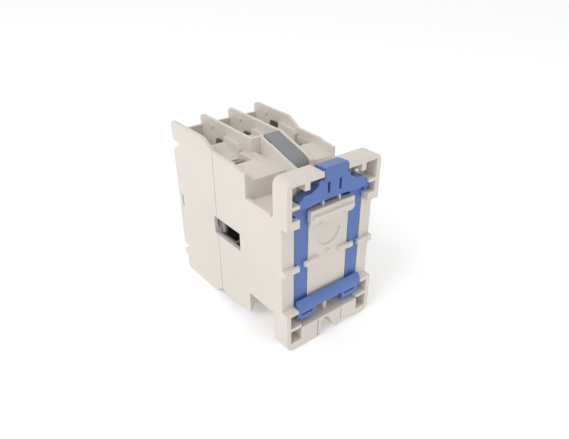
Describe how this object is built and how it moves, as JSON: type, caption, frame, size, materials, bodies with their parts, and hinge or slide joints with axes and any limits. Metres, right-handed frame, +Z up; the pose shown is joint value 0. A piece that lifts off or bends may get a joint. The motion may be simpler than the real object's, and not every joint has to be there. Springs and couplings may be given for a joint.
{
  "type": "din rail contactor",
  "caption": "Compact three pole electromagnetic contactor with screw terminals between barriers and a sliding catch that clips it onto a 35 mm rail.",
  "frame": {"origin": "on the rear plane, level with the middle of the rail and midway between the sides", "axes": "+X across the poles towards line and load contact 1, +Y out of the rear towards the panel, +Z up towards the line terminals"},
  "size_m": [0.045, 0.0805, 0.0755],
  "materials": {
    "ivory_plastic": "fine matte moulded thermoplastic, warm ivory",
    "blue_plastic": "smooth satin moulded thermoplastic, medium blue",
    "grey_plastic": "matte moulded coil former, mid grey",
    "dark_plastic": "matte thermoset moulding, near black",
    "dark_tape": "smooth insulating tape, blue black",
    "copper": "bare copper alloy",
    "brass_strip": "stamped brass strip",
    "silver": "silver alloy contact face",
    "zinc_steel": "zinc plated steel",
    "dark_steel": "dark passivated steel",
    "spring_steel": "drawn spring wire",
    "laminated_steel": "stacked electrical steel sheets",
    "rubber_pad": "black rubber"
  },
  "bodies": {
    "housing": {"base_housing": "ivory_plastic", "contact_housing": "ivory_plastic", "front_cover": "ivory_plastic", "housing_screws": "zinc_steel", "fixed_core": "laminated_steel", "fixed_core_rivets": "zinc_steel", "shading_rings": "copper", "core_cushion": "rubber_pad", "coil_bobbin": "grey_plastic", "coil_winding": "copper", "coil_tape": "dark_tape", "coil_terminal_a1": "zinc_steel", "coil_terminal_a2": "zinc_steel", "return_springs": "spring_steel", "power_contact_tips": "silver", "power_screws": "zinc_steel", "power_clamp_plates": "dark_steel", "aux_contact_13": "zinc_steel", "aux_contact_14": "zinc_steel", "aux_contact_tips": "silver", "control_screws": "zinc_steel", "control_clamp_plates": "zinc_steel", "line_contact_1": "copper", "line_contact_2": "copper", "line_contact_3": "copper", "load_contact_1": "copper", "load_contact_2": "copper", "load_contact_3": "copper"},
    "carrier": {"contact_carrier": "dark_plastic", "moving_core": "laminated_steel", "moving_core_rivets": "zinc_steel", "armature_cushion": "rubber_pad", "armature_pin": "zinc_steel", "contact_spring_1": "spring_steel", "contact_spring_2": "spring_steel", "contact_spring_3": "spring_steel", "aux_contact_spring": "spring_steel"},
    "moving_contact_1": {"bridge_1": "copper", "bridge_tips_1": "silver"},
    "moving_contact_2": {"bridge_2": "copper", "bridge_tips_2": "silver"},
    "moving_contact_3": {"bridge_3": "copper", "bridge_tips_3": "silver"},
    "moving_aux_contact": {"aux_bridge": "brass_strip", "aux_bridge_tips": "silver"},
    "rail_slider": {"din_clip": "blue_plastic", "clip_leaf_springs": "blue_plastic"}
  },
  "joints": [
    {"name": "carrier_slide", "type": "slide", "parent": "housing", "child": "carrier", "axis": [0, 1, 0], "range_m": [0, 0.005], "stiffness_N_per_m": 600, "springref_m": -0.005, "deforming": ["return_springs"]},
    {"name": "moving_contact_1_slide", "type": "slide", "parent": "carrier", "child": "moving_contact_1", "axis": [0, 1, 0], "range_m": [-0.0013, 0], "stiffness_N_per_m": 1500, "springref_m": 0.001, "deforming": ["contact_spring_1"]},
    {"name": "moving_contact_2_slide", "type": "slide", "parent": "carrier", "child": "moving_contact_2", "axis": [0, 1, 0], "range_m": [-0.0013, 0], "stiffness_N_per_m": 1500, "springref_m": 0.001, "deforming": ["contact_spring_2"]},
    {"name": "moving_contact_3_slide", "type": "slide", "parent": "carrier", "child": "moving_contact_3", "axis": [0, 1, 0], "range_m": [-0.0013, 0], "stiffness_N_per_m": 1500, "springref_m": 0.001, "deforming": ["contact_spring_3"]},
    {"name": "moving_aux_contact_slide", "type": "slide", "parent": "carrier", "child": "moving_aux_contact", "axis": [0, 1, 0], "range_m": [-0.0013, 0], "stiffness_N_per_m": 1500, "springref_m": 0.001, "deforming": ["aux_contact_spring"]},
    {"name": "rail_slider_slide", "type": "slide", "parent": "housing", "child": "rail_slider", "axis": [0, 0, -1], "range_m": [0, 0.002], "stiffness_N_per_m": 2000, "springref_m": -0.002, "deforming": ["clip_leaf_springs"]}
  ],
  "couplings": [
    {"joint": "moving_contact_1_slide", "follows": "carrier_slide", "ratio": -0.245},
    {"joint": "moving_contact_2_slide", "follows": "carrier_slide", "ratio": -0.245},
    {"joint": "moving_contact_3_slide", "follows": "carrier_slide", "ratio": -0.245},
    {"joint": "moving_aux_contact_slide", "follows": "carrier_slide", "ratio": -0.245}
  ]
}
